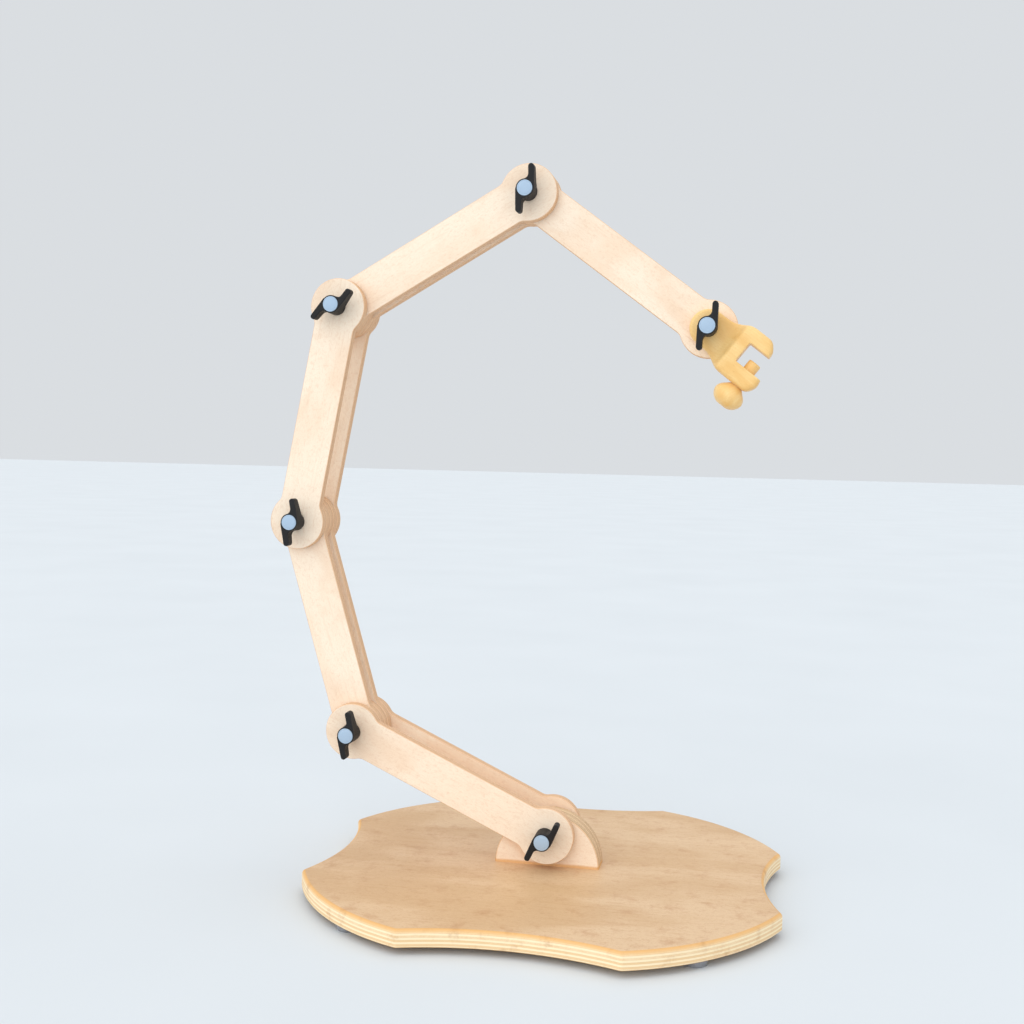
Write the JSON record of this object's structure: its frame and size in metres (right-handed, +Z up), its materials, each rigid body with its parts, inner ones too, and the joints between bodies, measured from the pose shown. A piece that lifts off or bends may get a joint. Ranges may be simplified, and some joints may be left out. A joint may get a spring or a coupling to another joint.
{
  "type": "articulated hoop stand",
  "caption": "Table stand with a shaped plywood base, a jointed plywood arm locked by wing nuts, and a wooden screw jaw that holds a hoop.",
  "frame": {"origin": "on the table top, under the middle of the base board and of the pivot block", "axes": "+Z up, +X along the base board's long axis towards the clamp end, +Y along the hinge axes away from the wing nuts"},
  "size_m": [0.4726, 0.3874, 0.6494],
  "materials": {
    "birch_plywood": "sanded birch plywood, clear matt finish",
    "pivot_plywood": "sanded birch plywood, clear matt finish",
    "board_plywood": "oiled birch plywood, satin",
    "clamp_hardwood": "varnished pale hardwood, satin",
    "zinc_steel": "zinc plated",
    "nylon_washer": "natural nylon",
    "black_plastic": "moulded, fine grain",
    "brass_insert": "turned",
    "pale_cap": "moulded, satin",
    "clear_rubber": "clear soft plastic"
  },
  "bodies": {
    "stand": {"base_board": "board_plywood", "foot_front_left": "clear_rubber", "foot_front_right": "clear_rubber", "foot_back_left": "clear_rubber", "foot_back_right": "clear_rubber", "foot_screws": "zinc_steel", "pivot_layer_front": "pivot_plywood", "pivot_layer_middle": "pivot_plywood", "pivot_layer_back": "pivot_plywood", "block_screws": "zinc_steel"},
    "arm_1": {"arm_1_front_plate": "birch_plywood", "arm_1_back_plate": "birch_plywood", "base_hinge_bolt": "zinc_steel", "base_hinge_gap_washers": "nylon_washer", "lower_hinge_bolt": "zinc_steel", "lower_hinge_gap_washers": "nylon_washer"},
    "arm_2": {"arm_2_front_plate": "birch_plywood", "arm_2_back_plate": "birch_plywood", "arm_2_spacers": "birch_plywood"},
    "arm_3": {"arm_3_front_plate": "birch_plywood", "arm_3_back_plate": "birch_plywood", "middle_hinge_bolt": "zinc_steel", "middle_hinge_gap_washers": "nylon_washer", "upper_hinge_bolt": "zinc_steel", "upper_hinge_gap_washers": "nylon_washer"},
    "arm_4": {"arm_4_front_plate": "birch_plywood", "arm_4_back_plate": "birch_plywood", "arm_4_spacer": "birch_plywood", "top_hinge_bolt": "zinc_steel", "top_hinge_gap_washers": "nylon_washer"},
    "arm_5": {"arm_5_plate": "birch_plywood", "clamp_hinge_bolt": "zinc_steel", "clamp_hinge_gap_washers": "nylon_washer"},
    "clamp": {"clamp_body": "clamp_hardwood"},
    "base_nut_washer": {"base_hinge_nut_washer": "zinc_steel"},
    "base_wing_nut": {"base_wing_nut": "black_plastic", "base_nut_insert": "brass_insert", "base_nut_cap": "pale_cap"},
    "lower_nut_washer": {"lower_hinge_nut_washer": "zinc_steel"},
    "lower_wing_nut": {"lower_wing_nut": "black_plastic", "lower_nut_insert": "brass_insert", "lower_nut_cap": "pale_cap"},
    "middle_nut_washer": {"middle_hinge_nut_washer": "zinc_steel"},
    "middle_wing_nut": {"middle_wing_nut": "black_plastic", "middle_nut_insert": "brass_insert", "middle_nut_cap": "pale_cap"},
    "upper_nut_washer": {"upper_hinge_nut_washer": "zinc_steel"},
    "upper_wing_nut": {"upper_wing_nut": "black_plastic", "upper_nut_insert": "brass_insert", "upper_nut_cap": "pale_cap"},
    "top_nut_washer": {"top_hinge_nut_washer": "zinc_steel"},
    "top_wing_nut": {"top_wing_nut": "black_plastic", "top_nut_insert": "brass_insert", "top_nut_cap": "pale_cap"},
    "clamp_nut_washer": {"clamp_hinge_nut_washer": "zinc_steel"},
    "clamp_wing_nut": {"clamp_wing_nut": "black_plastic", "clamp_nut_insert": "brass_insert", "clamp_nut_cap": "pale_cap"},
    "clamp_pad": {"clamp_pad": "clamp_hardwood"},
    "clamp_screw": {"clamp_screw": "clamp_hardwood"}
  },
  "joints": [
    {"name": "base_hinge", "type": "hinge", "parent": "stand", "child": "arm_1", "pos_m": [0, 0, 0.051], "axis": [0, -1, 0], "range_deg": [-60, 20]},
    {"name": "lower_hinge", "type": "hinge", "parent": "arm_1", "child": "arm_2", "pos_m": [-0.18199, 0, 0.13394], "axis": [0, 1, 0], "range_deg": [-55, 40]},
    {"name": "middle_hinge", "type": "hinge", "parent": "arm_2", "child": "arm_3", "pos_m": [-0.2388, 0, 0.3257], "axis": [0, -1, 0], "range_deg": [-40, 70]},
    {"name": "upper_hinge", "type": "hinge", "parent": "arm_3", "child": "arm_4", "pos_m": [-0.20235, 0, 0.52235], "axis": [0, 1, 0], "range_deg": [-90, 55]},
    {"name": "top_hinge", "type": "hinge", "parent": "arm_4", "child": "arm_5", "pos_m": [-0.03002, 0, 0.62386], "axis": [0, -1, 0], "range_deg": [-70, 90]},
    {"name": "clamp_hinge", "type": "hinge", "parent": "arm_5", "child": "clamp", "pos_m": [0.13075, 0, 0.5049], "axis": [0, 1, 0], "range_deg": [-110, 90]},
    {"name": "base_nut_travel", "type": "slide", "parent": "arm_1", "child": "base_nut_washer", "axis": [0, -1, 0], "range_m": [0, 0.003]},
    {"name": "base_nut_turn", "type": "hinge", "parent": "base_nut_washer", "child": "base_wing_nut", "pos_m": [0, -0.03, 0.051], "axis": [0, -1, 0], "range_deg": [0, 990]},
    {"name": "lower_nut_travel", "type": "slide", "parent": "arm_1", "child": "lower_nut_washer", "axis": [0, -1, 0], "range_m": [0, 0.003]},
    {"name": "lower_nut_turn", "type": "hinge", "parent": "lower_nut_washer", "child": "lower_wing_nut", "pos_m": [-0.18199, -0.03, 0.13394], "axis": [0, -1, 0], "range_deg": [0, 990]},
    {"name": "middle_nut_travel", "type": "slide", "parent": "arm_3", "child": "middle_nut_washer", "axis": [0, -1, 0], "range_m": [0, 0.003]},
    {"name": "middle_nut_turn", "type": "hinge", "parent": "middle_nut_washer", "child": "middle_wing_nut", "pos_m": [-0.2388, -0.03, 0.3257], "axis": [0, -1, 0], "range_deg": [0, 990]},
    {"name": "upper_nut_travel", "type": "slide", "parent": "arm_3", "child": "upper_nut_washer", "axis": [0, -1, 0], "range_m": [0, 0.003]},
    {"name": "upper_nut_turn", "type": "hinge", "parent": "upper_nut_washer", "child": "upper_wing_nut", "pos_m": [-0.20235, -0.03, 0.52235], "axis": [0, -1, 0], "range_deg": [0, 990]},
    {"name": "top_nut_travel", "type": "slide", "parent": "arm_4", "child": "top_nut_washer", "axis": [0, -1, 0], "range_m": [0, 0.003]},
    {"name": "top_nut_turn", "type": "hinge", "parent": "top_nut_washer", "child": "top_wing_nut", "pos_m": [-0.03002, -0.03, 0.62386], "axis": [0, -1, 0], "range_deg": [0, 990]},
    {"name": "clamp_nut_travel", "type": "slide", "parent": "arm_5", "child": "clamp_nut_washer", "axis": [0, -1, 0], "range_m": [0, 0.003]},
    {"name": "clamp_nut_turn", "type": "hinge", "parent": "clamp_nut_washer", "child": "clamp_wing_nut", "pos_m": [0.13075, -0.03, 0.5049], "axis": [0, -1, 0], "range_deg": [0, 990]},
    {"name": "clamp_pad_travel", "type": "slide", "parent": "clamp", "child": "clamp_pad", "axis": [0.6157, 0, 0.788], "range_m": [-0.0095, 0]},
    {"name": "clamp_screw_turn", "type": "hinge", "parent": "clamp_pad", "child": "clamp_screw", "pos_m": [0.15862, -0.0165, 0.45774], "axis": [0.6157, 0, 0.788], "range_deg": [-1110, 0]}
  ],
  "couplings": [
    {"joint": "base_nut_travel", "follows": "base_nut_turn", "m_per_rad": 0.00015915},
    {"joint": "lower_nut_travel", "follows": "lower_nut_turn", "m_per_rad": 0.00015915},
    {"joint": "middle_nut_travel", "follows": "middle_nut_turn", "m_per_rad": 0.00015915},
    {"joint": "upper_nut_travel", "follows": "upper_nut_turn", "m_per_rad": 0.00015915},
    {"joint": "top_nut_travel", "follows": "top_nut_turn", "m_per_rad": 0.00015915},
    {"joint": "clamp_nut_travel", "follows": "clamp_nut_turn", "m_per_rad": 0.00015915},
    {"joint": "clamp_pad_travel", "follows": "clamp_screw_turn", "m_per_rad": 0.00047746}
  ]
}
